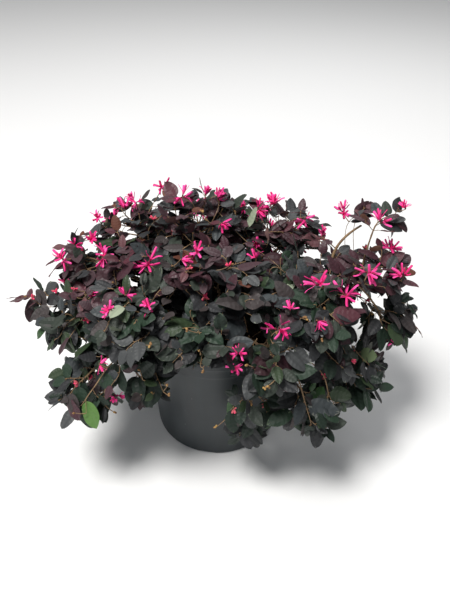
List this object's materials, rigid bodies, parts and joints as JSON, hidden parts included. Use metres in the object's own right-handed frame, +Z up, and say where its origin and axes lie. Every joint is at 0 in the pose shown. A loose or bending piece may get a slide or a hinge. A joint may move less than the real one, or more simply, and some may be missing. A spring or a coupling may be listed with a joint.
{
  "type": "potted chinese fringe flower shrub",
  "caption": "Wide arching fringe flower shrub with plum and green leaves and pink strap-petalled blossom, standing in a round dark plastic nursery pot.",
  "frame": {"origin": "centre of the pot's flat underside, where it stands", "axes": "+Z up, -Y the front of the plant, +X its right-hand side seen from the front and its widest spread"},
  "size_m": [0.6929, 0.46, 0.4512],
  "materials": {
    "pot_plastic": "dark slate nursery plastic, satin, faint vertical scuffs and pale dust",
    "bark_mix": "dull dark bark potting mix",
    "bark": "tan-brown bark with fine fissures, dull",
    "foliage_plum": "leathery plum to charcoal leaves, soft sheen",
    "foliage_green": "leathery green leaves, soft sheen"
  },
  "bodies": {
    "root": {"pot": "pot_plastic", "potting_mix": "bark_mix", "stem": "bark", "bough_top_centre": "bark", "bough_top_right": "bark", "bough_top_left": "bark", "bough_centre": "bark", "bough_right_shoulder": "bark", "bough_right_front": "bark", "bough_right_mid": "bark", "bough_front_right": "bark", "bough_front_centre": "bark", "bough_left_front": "bark", "bough_left_low": "bark", "bough_left_mid": "bark", "bough_left_upper": "bark", "bough_back_left": "bark", "bough_back_centre": "bark", "bough_back_right": "bark", "bough_side_right": "bark", "shoot_right_upper": "bark", "mass_top_centre": "foliage_plum", "mass_top_left": "foliage_plum", "mass_top_right": "foliage_plum", "mass_centre": "foliage_plum", "mass_left_shoulder": "foliage_plum", "mass_right_inner": "foliage_plum", "mass_right_upper": "foliage_plum", "mass_right_shoulder": "foliage_plum", "mass_right_tip": "foliage_green", "mass_right_front": "foliage_plum", "mass_right_mid": "foliage_green", "mass_right_mid_low": "foliage_green", "mass_right_low": "foliage_green", "mass_front_centre": "foliage_plum", "mass_front_right": "foliage_green", "mass_front_hanging": "foliage_green", "mass_left_front": "foliage_plum", "mass_left_front_low": "foliage_green", "mass_left_inner_low": "foliage_green", "mass_left_low": "foliage_green", "mass_left_mid": "foliage_green", "mass_left_tip": "foliage_green", "mass_left_upper": "foliage_plum", "mass_back_left": "foliage_plum", "mass_back_centre": "foliage_plum", "mass_back_right": "foliage_plum", "mass_back_low_left": "foliage_green", "mass_back_low_right": "foliage_green", "mass_side_left": "foliage_green", "mass_side_right": "foliage_green"}
  },
  "joints": []
}
